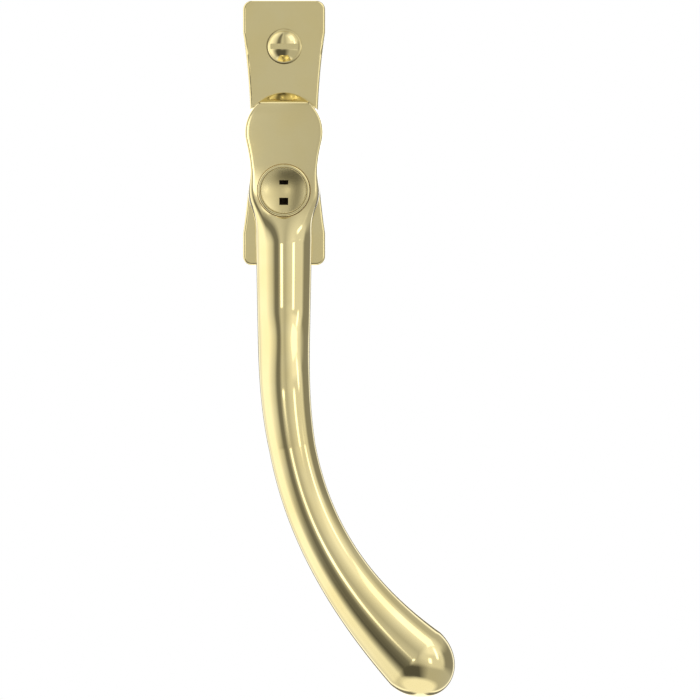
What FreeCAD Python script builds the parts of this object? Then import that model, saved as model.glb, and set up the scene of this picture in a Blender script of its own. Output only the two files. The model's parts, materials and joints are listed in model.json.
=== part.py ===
"""Locking window handle: a swept lever with a bulb end on a waisted backplate.

Frame: +X to the right, +Y into the window, +Z up. The origin is where the spindle's axis meets
the backplate's mounting face. Depths are heights above that face, so a depth is minus Y.
Every flat sketch lies on its body's XZ plane, whose normal points outwards along -Y.
"""
import FreeCAD, Part
import math
import os
import Sketcher
from FreeCAD import Placement, Rotation, Vector

doc = FreeCAD.newDocument("WindowHandle")

SIZES = [
    # backplate
    ("plate_half_height", 32.9), ("plate_end_half_width", 10.2), ("plate_waist_half_width", 8.3),
    ("plate_end_start", 25.0), ("plate_corner_radius", 2.2), ("plate_thickness", 5.0),
    ("plate_edge_round", 0.6), ("boss_radius", 9.9), ("boss_top", 7.5),
    ("recess_radius", 7.4), ("recess_depth", 3.8), ("stop_track_radius", 8.45),
    # fixing screws on 43 mm centres
    ("screw_offset", 21.5), ("screw_hole_radius", 2.65), ("screw_seat_radius", 4.45),
    ("screw_seat_floor", 3.1), ("screw_head_radius", 4.37), ("screw_head_edge", 5.35),
    ("screw_dome_radius", 3.82), ("screw_dome_top", 7.1), ("screw_slot_width", 1.35),
    ("screw_slot_floor", 5.75), ("screw_thread_radius", 2.5), ("screw_neck_radius", 2.4),
    ("screw_thread_start", 0.3), ("screw_reach", 25.0),
    # lever head, neck and spigot
    ("head_back", 7.8), ("head_front", 17.5), ("head_inset", 0.55), ("head_edge_round", 0.5),
    ("hub_radius", 10.1), ("neck_half_width", 8.74), ("neck_level", 9.8), ("lobe_radius", 9.06),
    ("slope_top_depth", 12.0), ("slope_edge_level", 6.9),
    ("spigot_radius", 6.0), ("spigot_bore_radius", 6.06), ("spigot_end", 0.6),
    ("spigot_flat", 4.9), ("spigot_flat_depth", 3.2), ("socket_side", 7.04), ("socket_top", 14.0),
    # lever arm: a round bar, flatter behind near the head, widening to a bulb
    ("arm_start", 24.0), ("arm_root", 22.3), ("arm_ramp_end", 27.3), ("arm_ramp_rise", 1.2),
    ("arm_half_width", 7.0), ("arm_slim_half_width", 5.79), ("arm_slim_level", 78.0),
    ("arm_height", 18.6), ("rise_start", 41.5), ("rise_end", 68.0), ("rounding_start", 30.0),
    ("rounding_end", 62.0), ("sweep_start", 47.2), ("sweep_reach", 32.5), ("sweep_power", 2.763),
    ("bulb_level", 130.3), ("bulb_radius", 8.98), ("bulb_length", 10.6),
    # spindle and what holds it
    ("spindle_side", 7.0), ("spindle_top", 13.8), ("spindle_reach", 30.0),
    ("spindle_pin_radius", 0.8), ("spindle_pin_length", 11.6), ("spindle_pin_depth", 5.4),
    # stop disc, circlip, washers
    ("stop_disc_radius", 7.2), ("stop_disc_low", 1.9), ("stop_disc_high", 2.9),
    ("stop_tab_radius", 8.3), ("stop_tab_half_angle", 10.0), ("stop_play_angle", 0.6),
    ("circlip_low", 1.1), ("circlip_high", 1.75), ("circlip_groove_radius", 5.3),
    ("circlip_radius", 6.9), ("circlip_gap_half_angle", 24.0),
    ("washer_inner_radius", 8.15), ("washer_outer_radius", 9.7), ("washer_thickness", 0.25),
    ("disc_spring_inner", 6.2), ("disc_spring_outer", 7.2), ("disc_spring_low", 2.98),
    ("disc_spring_rise", 0.42), ("disc_spring_thickness", 0.3),
    # detents
    ("detent_ring_radius", 7.05), ("ball_radius", 0.9), ("ball_depth", 8.15),
    ("ball_track_radius", 0.97), ("ball_dimple_drop", 0.15), ("detent_bore_radius", 0.96),
    ("detent_bore_top", 12.0), ("detent_wire_radius", 0.13), ("detent_coil_radius", 0.68),
    ("detent_coil_pitch", 0.6),
    # lock
    ("lock_level", 14.5), ("lock_bore_radius", 7.5), ("lock_mouth_radius", 6.55),
    ("barrel_top", 16.7), ("barrel_back", 9.0), ("barrel_floor", 10.0), ("barrel_radius", 7.48),
    ("barrel_inner_radius", 6.53), ("barrel_slot_half_width", 1.4), ("barrel_slot_low", 12.2),
    ("ring_back", 7.9), ("ring_inner_radius", 5.0),
    ("button_radius", 6.45), ("button_front", 20.7), ("button_back", 13.1),
    ("button_edge_round", 0.35),
    ("plug_radius", 5.75), ("plug_bore_radius", 5.82), ("plug_back", 17.2), ("plug_front", 20.42),
    ("plug_dish", 1.3), ("plug_tail_radius", 1.6), ("plug_tail_bore", 1.66), ("plug_tail_end", 16.6),
    ("key_half_width", 1.1), ("key_upper_low", 1.45), ("key_upper_high", 2.55),
    ("key_lower_low", 1.8), ("key_lower_high", 3.6), ("key_depth", 2.5),
    ("clip_low", 18.2), ("clip_high", 18.7), ("clip_inner_radius", 5.45),
    ("clip_outer_radius", 6.05), ("clip_play", 0.05), ("clip_gap_half_angle", 16.0),
    ("cam_radius", 1.3), ("cam_offset", 0.7), ("cam_low", 15.5), ("cam_high", 16.5),
    ("wafer_low", 15.55), ("wafer_high", 16.4), ("wafer_half_width", 3.2), ("wafer_back", 3.9),
    ("wafer_front", 5.3), ("wafer_nose_half_width", 1.2), ("wafer_nose", 7.1),
    ("wafer_window_half_width", 1.55), ("wafer_window_half_height", 2.1),
    ("cavity_low", 15.4), ("cavity_high", 16.6), ("cavity_back", 4.8), ("cavity_half_width", 3.3),
    ("spring_groove_inner", 2.6), ("spring_groove_outer", 4.3), ("spring_groove_top", 15.0),
    ("return_wire_radius", 0.22), ("return_coil_radius", 3.4), ("return_coil_pitch", 1.35),
    ("lock_pin_radius", 1.5), ("lock_pin_bore_radius", 1.56), ("lock_pin_tip", 5.3),
    ("lock_pin_top", 15.2), ("lock_pin_chamfer", 0.35),
    ("bush_radius", 2.3), ("bush_bore_radius", 1.62), ("bush_low", 1.0), ("bush_relief_radius", 1.9),
]

sheet = doc.addObject("Spreadsheet::Sheet", "dims")
for row, (alias, value) in enumerate(SIZES, start=1):
    sheet.set(f"A{row}", alias)
    sheet.set(f"B{row}", str(value))
    sheet.setAlias(f"B{row}", alias)
doc.recompute()


def size(alias):
    """The value of one named size, in millimetres or degrees."""
    return float(getattr(sheet, alias))


def at_depth(depth, x=0.0, z=0.0):
    """The point with this height above the mounting face."""
    return Vector(x, -depth, z)


# ---------------------------------------------------------------- PartDesign helpers
def new_body(name):
    """An empty body whose label names its file."""
    made = doc.addObject("PartDesign::Body", name)
    made.Label = name
    return made


def origin_plane(body, role):
    return next(f for f in body.Origin.OriginFeatures if f.Role == role)


def new_sketch(body, name, depth=0.0, role="XZ_Plane"):
    """A sketch on one of the body's own planes, lifted along the plane's normal."""
    sketch = body.newObject("Sketcher::SketchObject", name)
    sketch.AttachmentSupport = [(origin_plane(body, role), "")]
    sketch.MapMode = "FlatFace"
    if isinstance(depth, str):
        sketch.setExpression("AttachmentOffset.Base.z", depth)
    else:
        sketch.AttachmentOffset = Placement(Vector(0, 0, depth), Rotation())
    return sketch


def constrain(sketch, expression, *args):
    """Adds a driving constraint and binds it to the sheet."""
    index = sketch.addConstraint(Sketcher.Constraint(*args))
    sketch.setExpression(f"Constraints[{index}]", expression)
    return index


def add_circle(sketch, radius, x="0", z="0"):
    """A circle whose radius and centre are bound to expressions."""
    values = [float(sketch.evalExpression(e)) for e in (x, z, radius)]
    curve = Part.Circle(Vector(values[0], values[1], 0), Vector(0, 0, 1), values[2])
    item = sketch.addGeometry(curve)
    constrain(sketch, radius, "Radius", item, values[2])
    for kind, expression, value in (("DistanceX", x, values[0]), ("DistanceY", z, values[1])):
        if value:
            constrain(sketch, expression, kind, -1, 1, item, 3, value)
        else:
            other = "Vertical" if kind == "DistanceX" else "Horizontal"
            sketch.addConstraint(Sketcher.Constraint(other, -1, 1, item, 3))
    return item


def join_ends(sketch):
    """Makes every pair of ends that meet coincident."""
    ends = []
    for item in range(len(sketch.Geometry)):
        ends += [(item, end, sketch.getPoint(item, end)) for end in (1, 2)]
    for i, (first, first_end, here) in enumerate(ends):
        for second, second_end, there in ends[i + 1:]:
            if first != second and here.distanceToPoint(there) < 1e-6:
                meeting = (first, first_end, second, second_end)
                sketch.addConstraint(Sketcher.Constraint("Coincident", *meeting))


def add_outline(sketch, corners, close=True):
    """A closed run of lines through corners given as pairs of expressions, each coordinate bound."""
    points = [Vector(*[float(sketch.evalExpression(e)) for e in pair], 0) for pair in corners]
    count = len(points)
    items = [
        sketch.addGeometry(Part.LineSegment(points[i], points[(i + 1) % count]))
        for i in range(count if close else count - 1)
    ]
    if close:
        join_ends(sketch)
    for i, item in enumerate(items):
        for kind, expression, value in zip(("DistanceX", "DistanceY"), corners[i], points[i]):
            if abs(value) > 1e-9:
                constrain(sketch, expression, kind, -1, 1, item, 1, value)
            else:
                other = "Vertical" if kind == "DistanceX" else "Horizontal"
                sketch.addConstraint(Sketcher.Constraint(other, -1, 1, item, 1))
    return items


def add_box(sketch, left, right, low, high):
    return add_outline(sketch, [(left, low), (right, low), (right, high), (left, high)])


def settle(made):
    """Recomputes, and stops if this feature failed."""
    doc.recompute()
    if "Invalid" in made.State or "Error" in made.State or "Touched" in made.State:
        raise RuntimeError(f"{made.Name} failed: {made.State} {made.getStatusString()}")
    return made


def feature(body, kind, name, sketch, **bound):
    """A sketch-based feature whose properties are bound to the sheet."""
    made = body.newObject(f"PartDesign::{kind}", name)
    made.Profile = sketch
    for prop, expression in bound.items():
        made.setExpression(prop, expression)
    return settle(made)


def pad(body, name, sketch, length):
    return feature(body, "Pad", name, sketch, Length=length)


def pocket(body, name, sketch, length, outwards=False):
    """Cuts towards the mounting face, or outwards, and checks that it cuts something."""
    before = body.Shape.Volume
    made = feature(body, "Pocket", name, sketch, Length=length)
    if outwards:
        made.Reversed = True
        doc.recompute()
    if body.Shape.Volume > before - 1e-6:
        raise RuntimeError(f"{body.Name}.{name} cuts nothing")
    return made


def revolve(body, kind, name, sketch, angle=360.0):
    """A full turn of a half section about the body's own Y axis, or a groove of it."""
    before = body.Shape.Volume if kind == "Groove" else 0.0
    made = body.newObject(f"PartDesign::{kind}", name)
    made.Profile = sketch
    made.ReferenceAxis = (next(f for f in body.Origin.OriginFeatures if f.Role == "Y_Axis"), [""])
    made.Angle = angle
    settle(made)
    if kind == "Groove" and body.Shape.Volume > before - 1e-6:
        raise RuntimeError(f"{body.Name}.{name} cuts nothing")
    return made


def half_section(body, name, corners):
    """A sketch of radius against depth, for turning about Y. The XY plane's Y is minus depth."""
    sketch = new_sketch(body, name, role="XY_Plane")
    add_outline(sketch, [(radius, f"-({depth})") for radius, depth in corners])
    return sketch


def dress(body, kind, name, edges, prop, expression):
    """A fillet or chamfer on the named edges of the body's tip."""
    base = body.Tip
    made = body.newObject(f"PartDesign::{kind}", name)
    made.Base = (base, edges)
    made.setExpression(prop, expression)
    return settle(made)


def edges_where(shape, test):
    """Names of the edges whose every sample point passes the test."""
    names = []
    for i, edge in enumerate(shape.Edges, start=1):
        if all(test(edge.valueAt(p)) for p in edge_samples(edge)):
            names.append(f"Edge{i}")
    return names


def edge_samples(edge):
    first, last = edge.ParameterRange
    return [first + (last - first) * k / 4 for k in range(5)]


# ---------------------------------------------------------------- Part helpers
def bound_object(kind, name, placement=None, **bound):
    """A Part object with its properties bound to the sheet."""
    made = doc.addObject(kind, name)
    for prop, expression in bound.items():
        made.setExpression(prop, expression)
    if placement is not None:
        made.Placement = placement
    return made


def coil_spring(name, base, wire_radius, coil_radius, pitch, height, steps=16, sides=6):
    """A helical spring of six-sided wire that stands outwards along -Y from its base point."""
    rings = []
    for k in range(int(steps * height / pitch) + 1):
        turn = 2 * math.pi * k / steps
        away = Vector(math.cos(turn), 0, math.sin(turn))
        centre = base + away * coil_radius + at_depth(pitch * k / steps)
        corners = []
        for side in range(sides):
            angle = 2 * math.pi * side / sides
            rise = at_depth(wire_radius * math.sin(angle))
            corners.append(centre + away * (wire_radius * math.cos(angle)) + rise)
        rings.append(Part.makePolygon(corners + corners[:1]))
    spring = doc.addObject("Part::Feature", name)
    spring.Shape = Part.makeLoft(rings, True, True)
    spring.Label = name
    return spring


# ---------------------------------------------------------------- backplate and its fixings
def make_backplate():
    """Waisted plate with a round boss, a rear recess for the stop and holes for screws and lock."""
    body = new_body("backplate")
    outline = new_sketch(body, "plate_outline")
    half_height = size("plate_half_height")
    end_width = size("plate_end_half_width")
    waist = size("plate_waist_half_width")
    end_start = size("plate_end_start")
    right = [Vector(end_width, -half_height, 0), Vector(end_width, -end_start, 0),
             Vector(end_width, end_start, 0), Vector(end_width, half_height, 0)]
    left = [Vector(-p.x, -p.y, 0) for p in right]
    curves = []
    for side, following in ((right, left), (left, right)):
        middle = Vector(math.copysign(waist, side[0].x), 0, 0)
        curves += [Part.LineSegment(side[0], side[1]), Part.Arc(side[1], middle, side[2]),
                   Part.LineSegment(side[2], side[3]), Part.LineSegment(side[3], following[0])]
    ids = [outline.addGeometry(curve) for curve in curves]
    join_ends(outline)
    constrain(outline, "dims.plate_end_half_width", "DistanceX", -1, 1, ids[0], 1, end_width)
    constrain(outline, "-dims.plate_half_height", "DistanceY", -1, 1, ids[0], 1, -half_height)
    constrain(outline, "-dims.plate_end_start", "DistanceY", -1, 1, ids[0], 2, -end_start)
    pad(body, "plate", outline, "dims.plate_thickness")

    corners = edges_where(body.Shape, lambda p: abs(abs(p.x) - end_width) < 0.01
                          and abs(abs(p.z) - half_height) < 0.01)
    dress(body, "Fillet", "corner_rounds", corners, "Radius", "dims.plate_corner_radius")
    front = -size("plate_thickness")
    rim = edges_where(body.Shape, lambda p: abs(p.y - front) < 0.01)
    dress(body, "Fillet", "edge_rounds", rim, "Radius", "dims.plate_edge_round")

    boss = new_sketch(body, "boss_outline")
    add_circle(boss, "dims.boss_radius")
    pad(body, "boss", boss, "dims.boss_top")

    bore = new_sketch(body, "bore_outline", "dims.boss_top")
    add_circle(bore, "dims.spigot_bore_radius")
    pocket(body, "bore", bore, "dims.boss_top")
    recess = new_sketch(body, "recess_outline")
    add_circle(recess, "dims.recess_radius")
    pocket(body, "recess", recess, "dims.recess_depth", outwards=True)

    # the tab of the stop disc starts straight up and goes a quarter turn towards -X
    half_angle = size("stop_tab_half_angle") + size("stop_play_angle")
    track = new_sketch(body, "stop_track_outline")
    inner = size("recess_radius") - 0.6
    add_sector(track, inner, size("stop_track_radius"), 90 - half_angle, 180 + half_angle)
    pocket(body, "stop_track", track, "dims.recess_depth", outwards=True)

    for side, name in ((1, "upper"), (-1, "lower")):
        level = f"{side} * dims.screw_offset"
        hole = new_sketch(body, f"{name}_hole_outline", "dims.plate_thickness")
        add_circle(hole, "dims.screw_hole_radius", z=level)
        pocket(body, f"{name}_hole", hole, "dims.plate_thickness")
        seat = new_sketch(body, f"{name}_seat_outline", "dims.plate_thickness")
        add_circle(seat, "dims.screw_seat_radius", z=level)
        pocket(body, f"{name}_seat", seat, "dims.plate_thickness - dims.screw_seat_floor")

    lock = new_sketch(body, "lock_hole_outline", "dims.plate_thickness")
    add_circle(lock, "dims.bush_radius", z="-dims.lock_level")
    pocket(body, "lock_hole", lock, "dims.plate_thickness - dims.bush_low")
    relief = new_sketch(body, "lock_relief_outline", "dims.plate_thickness")
    add_circle(relief, "dims.bush_relief_radius", z="-dims.lock_level")
    pocket(body, "lock_relief", relief, "dims.plate_thickness")

    # the balls' track, and a dimple at each quarter turn
    base = doc.getObject("backplate")
    flat = Placement(at_depth(size("ball_depth")), Rotation(Vector(1, 0, 0), 90))
    ring = bound_object("Part::Torus", "ball_track", flat, Radius1="dims.detent_ring_radius",
                        Radius2="dims.ball_track_radius")
    cutters = [ring]
    for quarter in range(4):
        angle = math.radians(90 * quarter)
        ring_radius = size("detent_ring_radius")
        spot = at_depth(size("ball_depth") - size("ball_dimple_drop"),
                        ring_radius * math.cos(angle), ring_radius * math.sin(angle))
        cutters.append(bound_object("Part::Sphere", f"dimple_{quarter + 1}", Placement(spot, Rotation()),
                                    Radius="dims.ball_track_radius"))
    tools = doc.addObject("Part::MultiFuse", "ball_tools")
    tools.Shapes = cutters
    body.Label = "backplate_blank"
    cut = doc.addObject("Part::Cut", "backplate_finished")
    cut.Base = base
    cut.Tool = tools
    cut.Label = "backplate"
    doc.recompute()
    return cut


def add_sector(sketch, inner, outer, start, end):
    """A ring sector between two radii and two angles in degrees."""
    first, last = math.radians(start), math.radians(end)
    centre = Vector(0, 0, 0)
    unit = [Vector(math.cos(a), math.sin(a), 0) for a in (first, last)]
    flat = Part.Circle(centre, Vector(0, 0, 1), outer)
    outer_arc = sketch.addGeometry(Part.ArcOfCircle(flat, first, last))
    flat = Part.Circle(centre, Vector(0, 0, 1), inner)
    inner_arc = sketch.addGeometry(Part.ArcOfCircle(flat, first, last))
    for way in unit:
        sketch.addGeometry(Part.LineSegment(way * inner, way * outer))
    join_ends(sketch)
    sketch.addConstraint(Sketcher.Constraint("Coincident", outer_arc, 3, -1, 1))
    sketch.addConstraint(Sketcher.Constraint("Coincident", inner_arc, 3, -1, 1))
    sketch.addConstraint(Sketcher.Constraint("Radius", outer_arc, outer))
    sketch.addConstraint(Sketcher.Constraint("Radius", inner_arc, inner))


def make_screw(name, side):
    """Raised-head slotted M5 screw; its thread is a plain cylinder at the outer diameter."""
    body = new_body(name)
    half = new_sketch(body, f"{name}_section", role="XY_Plane")
    rows = [
        ("0", "-dims.screw_reach"), ("dims.screw_thread_radius", "-dims.screw_reach"),
        ("dims.screw_thread_radius", "-dims.screw_thread_start"),
        ("dims.screw_neck_radius", "-dims.screw_thread_start"),
        ("dims.screw_neck_radius", "dims.screw_seat_floor"),
        ("dims.screw_head_radius", "dims.screw_seat_floor"),
        ("dims.screw_head_radius", "dims.screw_head_edge"),
        ("dims.screw_dome_radius", "dims.screw_head_edge"),
    ]
    items = add_outline(half, [(radius, f"-({depth})") for radius, depth in rows], close=False)
    edge = Vector(size("screw_dome_radius"), -size("screw_head_edge"), 0)
    top = Vector(0, -size("screw_dome_top"), 0)
    rise = size("screw_dome_top") - size("screw_head_edge")
    ball = (size("screw_dome_radius") ** 2 + rise ** 2) / (2 * rise)
    turn = math.asin(size("screw_dome_radius") / ball) / 2
    middle = Vector(ball * math.sin(turn), -(size("screw_dome_top") - ball + ball * math.cos(turn)), 0)
    half.addGeometry(Part.Arc(edge, middle, top))
    half.addGeometry(Part.LineSegment(top, Vector(0, size("screw_reach"), 0)))
    join_ends(half)
    revolve(body, "Revolution", "turned", half)
    slot = new_sketch(body, f"{name}_slot_outline", "dims.screw_dome_top")
    add_box(slot, "-2 * dims.screw_head_radius", "2 * dims.screw_head_radius",
            "-dims.screw_slot_width / 2", "dims.screw_slot_width / 2")
    pocket(body, "slot", slot, "dims.screw_dome_top - dims.screw_slot_floor")
    body.Placement = Placement(Vector(0, 0, side * size("screw_offset")), Rotation())
    return body


def turned(name, corners, x=0.0, z=0.0):
    """A body turned from a half section of (radius, depth) corners about an axis along Y."""
    body = new_body(name)
    revolve(body, "Revolution", "turned", half_section(body, f"{name}_section", corners))
    body.Placement = Placement(Vector(x, 0, z), Rotation())
    return body


def ring_section(inner, outer, low, high):
    """The four corners of a plain ring's half section."""
    return [(inner, low), (outer, low), (outer, high), (inner, high)]


def make_disc_spring():
    """A conical washer that keeps the lever drawn in against the boss."""
    low, thick = "dims.disc_spring_low", "dims.disc_spring_thickness"
    high = f"{low} + dims.disc_spring_rise"
    return turned("disc_spring", [
        ("dims.disc_spring_inner", low), ("dims.disc_spring_inner", f"{low} + {thick}"),
        ("dims.disc_spring_outer", f"{high} + {thick}"), ("dims.disc_spring_outer", high),
    ])


# ---------------------------------------------------------------- lever
def ease(value, start, end):
    """Zero up to the start, one from the end on and a smooth step between."""
    share = min(1.0, max(0.0, (value - start) / (end - start)))
    return share * share * (3 - 2 * share)


def arm_width(level):
    """Half width of the arm, which is also its half depth in front of its centre line."""
    slim, last = size("arm_slim_level"), size("bulb_level")
    narrow = size("arm_slim_half_width")
    if level < slim:
        back = (slim - level) / (slim - size("arm_start"))
        return narrow + (size("arm_half_width") - narrow) * back ** 0.8
    on = (level - slim) / (last - slim)
    return narrow + (size("bulb_radius") - narrow) * on ** 3


def arm_centre(level):
    """The arm's centre line at a distance below the spindle's axis."""
    run = max(0.0, (level - size("sweep_start")) / (size("bulb_level") - size("sweep_start")))
    across = size("sweep_reach") * run ** size("sweep_power")
    ramp = (level - size("arm_root")) / (size("arm_ramp_end") - size("arm_root"))
    front = size("head_front") + size("arm_ramp_rise") * min(1.0, max(0.0, ramp)) ** 1.5
    low = front - arm_width(min(level, size("rise_start")))
    rise = ease(level, size("rise_start"), size("rise_end"))
    return at_depth(low + (size("arm_height") - low) * rise, across, -level)


def arm_direction(level):
    """The way the arm runs at a level, from the head to the bulb."""
    step = 0.05
    return (arm_centre(level + step) - arm_centre(level - step)).normalize()


def section_wire(level):
    """A closed egg-shaped curve round the arm, square to its centre line."""
    along = arm_direction(level)
    across = Vector(0, -1, 0).cross(along).normalize()
    lift = along.cross(across).normalize()
    width, centre = arm_width(level), arm_centre(level)
    flat_rear = -arm_centre(min(level, size("rise_start"))).y - size("head_back")
    rounding = ease(level, size("rounding_start"), size("rounding_end"))
    rear = flat_rear + (width - flat_rear) * rounding
    points = []
    count = 32
    for k in range(count):
        angle = 2 * math.pi * k / count
        half_depth = width if k <= count / 2 else rear
        aside = across * (width * math.cos(angle))
        points.append(centre + aside + lift * (half_depth * math.sin(angle)))
    curve = Part.BSplineCurve()
    curve.interpolate(Points=points, PeriodicFlag=True)
    return Part.Wire([curve.toShape()])


def make_arm():
    """The arm from the head to the widest part of the bulb, lofted through its sections."""
    root, ramp_end = size("arm_root"), size("arm_ramp_end")
    rise_start, rise_end, last = size("rise_start"), size("rise_end"), size("bulb_level")
    levels = [root + (ramp_end - root) * k / 3 for k in range(3)]
    levels += [ramp_end + (rise_start - ramp_end) * k / 3 for k in range(3)]
    levels += [rise_start + (rise_end - rise_start) * k / 5 for k in range(5)]
    levels += [rise_end + (last - rise_end) * k / 7 for k in range(8)]
    arm = doc.addObject("Part::Feature", "arm_loft")
    arm.Shape = Part.makeLoft([section_wire(level) for level in levels], True, False)
    return arm


def head_outline(body, name, depth, inset):
    """The head's plan at one depth, drawn in from its widest by the draft."""
    outline = new_sketch(body, name, depth)
    drawn_in = size("head_inset") if inset else 0.0
    level, start = size("lock_level"), size("arm_start")
    hub, lobe = size("hub_radius") - drawn_in, size("lobe_radius") - drawn_in
    neck, arm = size("neck_half_width") - drawn_in, size("arm_half_width") - drawn_in
    neck_top = Vector(math.sqrt(hub ** 2 - 3.4 ** 2), -3.4, 0)
    lobe_top = Vector(math.sqrt(lobe ** 2 - 1.6 ** 2), -level + 1.6, 0)
    lobe_low = Vector(math.sqrt(lobe ** 2 - 2.6 ** 2), -level - 2.6, 0)
    shoulder = Vector((lobe_low.x + arm) / 2 - 0.25, -level - 6.4, 0)
    arm_top = Vector(arm, -start, 0)

    def mirrored(point):
        return Vector(-point.x, point.y, 0)

    curves = [
        Part.Arc(neck_top, Vector(0, hub, 0), mirrored(neck_top)),
        Part.Arc(mirrored(neck_top), Vector(-neck, -size("neck_level"), 0), mirrored(lobe_top)),
        Part.Arc(mirrored(lobe_top), Vector(-lobe, -level, 0), mirrored(lobe_low)),
        Part.Arc(mirrored(lobe_low), mirrored(shoulder), mirrored(arm_top)),
        Part.LineSegment(mirrored(arm_top), arm_top),
        Part.Arc(arm_top, shoulder, lobe_low),
        Part.Arc(lobe_low, Vector(lobe, -level, 0), lobe_top),
        Part.Arc(lobe_top, Vector(neck, -size("neck_level"), 0), neck_top),
    ]
    ids = [outline.addGeometry(curve) for curve in curves]
    join_ends(outline)
    shrink = " - dims.head_inset" if inset else ""
    constrain(outline, f"dims.hub_radius{shrink}", "Radius", ids[0], hub)
    constrain(outline, f"dims.lobe_radius{shrink}", "Radius", ids[2], lobe)
    constrain(outline, f"dims.lobe_radius{shrink}", "Radius", ids[6], lobe)
    return outline


def make_head():
    """The drafted head: hub, neck and lock lobe, with a sloping top and a spigot behind."""
    body = new_body("lever_head")
    back = head_outline(body, "head_back_outline", "dims.head_back", inset=False)
    front = head_outline(body, "head_front_outline", "dims.head_front", inset=True)
    loft = body.newObject("PartDesign::AdditiveLoft", "head")
    loft.Profile = back
    loft.Sections = [front]
    loft.Ruled = True
    settle(loft)

    slope = new_sketch(body, "slope_outline", role="YZ_Plane")
    far = "dims.hub_radius + 2"
    add_outline(slope, [
        ("-dims.slope_top_depth", "dims.hub_radius"), ("-(dims.head_front + 1)",
                                                       "dims.slope_edge_level - 0.6"),
        ("-(dims.head_front + 1)", far), ("-dims.slope_top_depth", far),
    ])
    cut = feature(body, "Pocket", "slope", slope, Length="4 * dims.hub_radius")
    cut.Midplane = True
    doc.recompute()

    face = -size("head_front")
    rim = edges_where(body.Shape, lambda p: abs(p.y - face) < 0.01 and p.z > 0.01 - size("arm_start"))
    dress(body, "Fillet", "front_rounds", rim, "Radius", "dims.head_edge_round")

    spigot = new_sketch(body, "spigot_outline", "dims.spigot_end")
    add_circle(spigot, "dims.spigot_radius")
    pad(body, "spigot", spigot, "dims.head_back - dims.spigot_end + 0.5")
    for side, name in ((1, "right"), (-1, "left")):
        flat = new_sketch(body, f"{name}_flat_outline", "dims.spigot_flat_depth")
        edges = [f"{side} * dims.spigot_flat", f"{side} * 2 * dims.spigot_radius"]
        add_box(flat, edges[0], edges[1], "-2 * dims.spigot_radius", "2 * dims.spigot_radius")
        pocket(body, f"{name}_flat", flat, "dims.spigot_flat_depth")
    groove = half_section(body, "clip_groove_section", ring_section(
        "dims.circlip_groove_radius", "2 * dims.spigot_radius",
        "dims.circlip_low - 0.03", "dims.circlip_high + 0.03"))
    revolve(body, "Groove", "clip_groove", groove)

    socket = new_sketch(body, "socket_outline", "dims.socket_top")
    half_side = "dims.socket_side / 2"
    add_box(socket, f"-{half_side}", half_side, f"-{half_side}", half_side)
    pocket(body, "socket", socket, "dims.socket_top")

    lock = new_sketch(body, "lock_bore_outline", "dims.barrel_top")
    add_circle(lock, "dims.lock_bore_radius", z="-dims.lock_level")
    pocket(body, "lock_bore", lock, "dims.barrel_top")
    mouth = new_sketch(body, "lock_mouth_outline", "dims.head_front + 1")
    add_circle(mouth, "dims.lock_mouth_radius", z="-dims.lock_level")
    pocket(body, "lock_mouth", mouth, "dims.head_front + 1 - dims.head_back")
    for side, name in ((1, "right"), (-1, "left")):
        seat = new_sketch(body, f"{name}_detent_outline", "dims.detent_bore_top")
        add_circle(seat, "dims.detent_bore_radius", x=f"{side} * dims.detent_ring_radius")
        pocket(body, f"{name}_detent_bore", seat, "dims.detent_bore_top - dims.head_back + 0.2")
    return body


def make_lever():
    """Head, arm and bulb in one casting, drilled across the spigot for the spindle's pin."""
    blank = doc.addObject("Part::MultiFuse", "lever_blank")
    last = size("bulb_level")
    bulb_place = Placement(arm_centre(last), Rotation(Vector(0, 0, 1), arm_direction(last)))
    bulb = bound_object("Part::Ellipsoid", "bulb", bulb_place, Radius1="dims.bulb_length",
                        Radius2="dims.bulb_radius", Radius3="dims.bulb_radius")
    blank.Shapes = [make_head(), make_arm(), bulb]
    drill = bound_object("Part::Cylinder", "pin_drill", pin_placement(1.0),
                         Radius="dims.spindle_pin_radius", Height="dims.spindle_pin_length + 2")
    lever = doc.addObject("Part::Cut", "lever_finished")
    lever.Base = blank
    lever.Tool = drill
    lever.Refine = True
    lever.Label = "lever"
    doc.recompute()
    return lever


# ---------------------------------------------------------------- spindle and what holds it
def pin_placement(overhang=0.0):
    """Where the cross pin starts, with its axis along +X."""
    start = at_depth(size("spindle_pin_depth"), -size("spindle_pin_length") / 2 - overhang)
    return Placement(start, Rotation(Vector(0, 1, 0), 90))


def make_spindle():
    """A 7 mm square bar, drilled across for its pin, with its free end chamfered."""
    body = new_body("spindle_bar")
    outline = new_sketch(body, "spindle_outline", "-dims.spindle_reach")
    half_side = "dims.spindle_side / 2"
    add_box(outline, f"-{half_side}", half_side, f"-{half_side}", half_side)
    pad(body, "bar", outline, "dims.spindle_reach + dims.spindle_top")
    far = size("spindle_reach")
    end = edges_where(body.Shape, lambda p: abs(p.y - far) < 0.01)
    dress(body, "Chamfer", "end_chamfer", end, "Size", "dims.spindle_side / 12")
    drill = bound_object("Part::Cylinder", "spindle_drill", pin_placement(1.0),
                         Radius="dims.spindle_pin_radius", Height="dims.spindle_pin_length + 2")
    spindle = doc.addObject("Part::Cut", "spindle_finished")
    spindle.Base = body
    spindle.Tool = drill
    spindle.Label = "spindle"
    return spindle


def make_spindle_pin():
    """A pin through spigot and spindle, kept in by the boss's bore."""
    pin = bound_object("Part::Cylinder", "spindle_pin", pin_placement(),
                       Radius="dims.spindle_pin_radius", Height="dims.spindle_pin_length")
    pin.Label = "spindle_pin"
    return pin


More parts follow.
